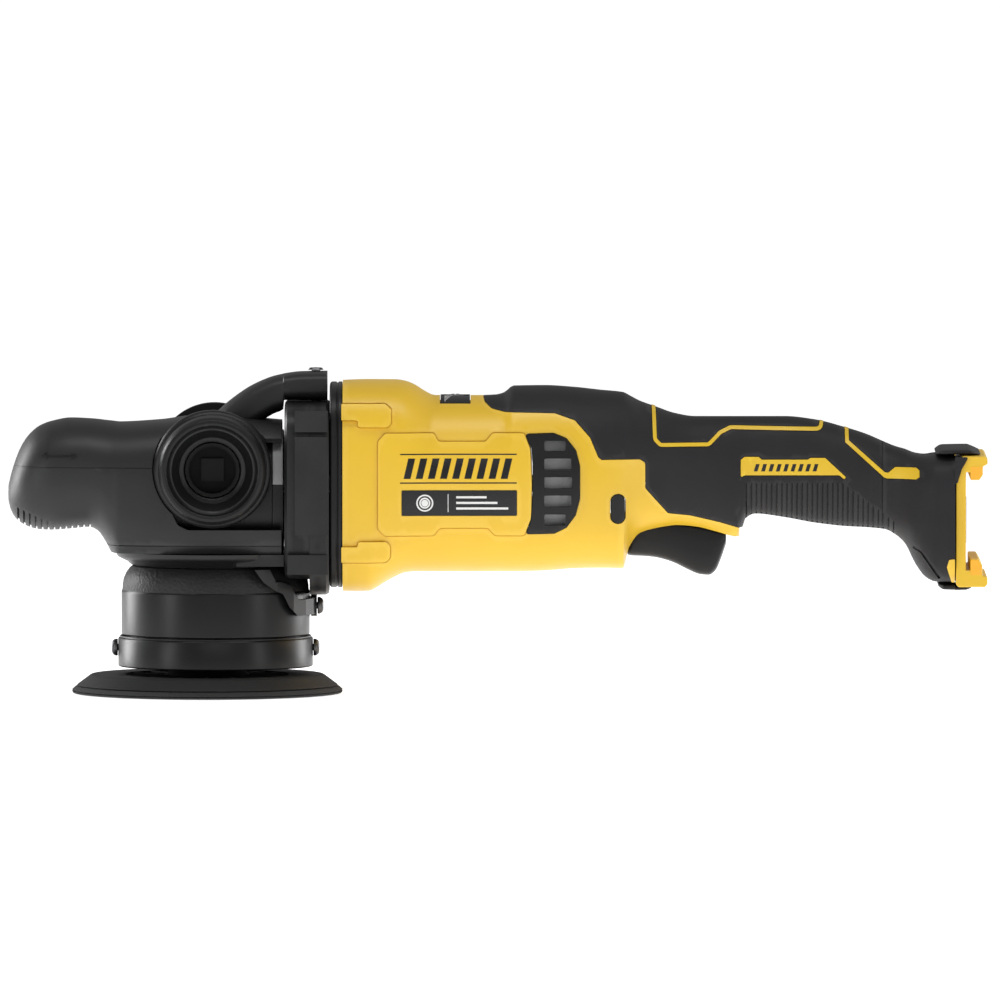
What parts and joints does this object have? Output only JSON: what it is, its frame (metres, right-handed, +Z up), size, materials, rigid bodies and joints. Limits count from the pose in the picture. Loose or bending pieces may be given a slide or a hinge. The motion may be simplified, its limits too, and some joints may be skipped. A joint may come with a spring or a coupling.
{
  "type": "rotary polisher",
  "caption": "Cordless dual-action rotary polisher: gear head with over-the-head grip and side handle sockets, motor housing, slim trigger handle, slide-on battery foot and an orbiting round backing pad.",
  "frame": {"origin": "On the spindle axis, in the plane of the pad's working face.", "axes": "+X runs back along the tool to the battery foot, +Z is up along the spindle away from the work, and +Y is the operator's right-hand side seen with the trigger below, completing a right-handed frame."},
  "size_m": [0.4526, 0.1301, 0.1504],
  "materials": {
    "yellow_shell": "moulded, satin",
    "accent": "satin",
    "soft_grip": "fine matt texture",
    "label": "printed film",
    "black_plastic": "fine spark texture",
    "grey_plastic": "moulded",
    "screen": "woven mesh",
    "cast_alloy": "die cast",
    "steel": "machined",
    "windings": "laminations and enamelled wire",
    "pad_foam": "closed foam",
    "hook_fabric": "hook and loop"
  },
  "bodies": {
    "frame": {"motor_housing_left": "yellow_shell", "grip_left": "soft_grip", "badge_left": "accent", "label_left": "label", "motor_housing_right": "yellow_shell", "grip_right": "soft_grip", "badge_right": "accent", "label_right": "label", "intake_frame_left": "black_plastic", "intake_mesh_left": "screen", "intake_frame_right": "black_plastic", "intake_mesh_right": "screen", "gear_case": "cast_alloy", "head_cover_upper": "soft_grip", "head_cover_lower": "soft_grip", "collar": "black_plastic", "adapter_plate": "black_plastic", "side_socket_left": "black_plastic", "handle_insert_left": "steel", "side_socket_right": "black_plastic", "handle_insert_right": "steel", "skirt_shroud": "black_plastic", "skirt_ring": "black_plastic", "skirt_bracket": "black_plastic", "skirt_screw_rear": "steel", "bracket_screw": "steel", "skirt_screw_front": "steel", "arch_screw": "steel", "gear_case_base": "black_plastic", "spindle_bearing": "steel", "stator": "windings", "motor_bearing_front": "steel", "motor_bearing_rear": "steel", "air_baffle": "black_plastic", "trigger_pin": "steel", "switch_body": "black_plastic", "control_module": "grey_plastic", "dial_bezel": "black_plastic", "battery_receptacle": "yellow_shell", "terminal_block": "black_plastic", "foot_bumper_top": "soft_grip", "foot_bumper_low": "soft_grip"},
    "spindle": {"spindle": "steel", "crown_gear": "steel", "counterweight": "steel"},
    "rotor": {"pinion": "steel", "rotor_shaft": "steel", "rotor_core": "steel", "cooling_fan": "black_plastic"},
    "pad": {"pad_bearing": "steel", "backing_plate": "black_plastic", "pad_foam": "pad_foam", "hook_face": "hook_fabric"},
    "trigger": {"trigger": "black_plastic"},
    "lock_button": {"lock_button": "black_plastic"},
    "speed_dial": {"speed_dial": "grey_plastic"}
  },
  "joints": [
    {"name": "spindle_spin", "type": "hinge", "parent": "frame", "child": "spindle", "pos_m": [0, 0, 0.05], "axis": [0, 0, 1], "continuous": true},
    {"name": "rotor_spin", "type": "hinge", "parent": "frame", "child": "rotor", "pos_m": [0.1, 0, 0.0965], "axis": [1, 0, 0], "continuous": true},
    {"name": "pad_spin", "type": "hinge", "parent": "spindle", "child": "pad", "pos_m": [-0.00375, -0.0065, 0.01], "axis": [0, 0, 1], "continuous": true},
    {"name": "trigger_pull", "type": "hinge", "parent": "frame", "child": "trigger", "pos_m": [0.1975, 0, 0.0795], "axis": [0, -1, 0], "range_deg": [0, 8], "stiffness_Nm_per_rad": 0.6, "springref_deg": -5.73},
    {"name": "lock_button_press", "type": "slide", "parent": "frame", "child": "lock_button", "axis": [0, 1, 0], "range_m": [0, 0.002], "stiffness_N_per_m": 600, "springref_m": -0.0005},
    {"name": "speed_dial_turn", "type": "hinge", "parent": "frame", "child": "speed_dial", "pos_m": [0.111, 0, 0.1293], "axis": [0, 1, 0], "range_deg": [0, 270]}
  ],
  "couplings": [
    {"joint": "rotor_spin", "follows": "spindle_spin", "ratio": 2.5}
  ]
}
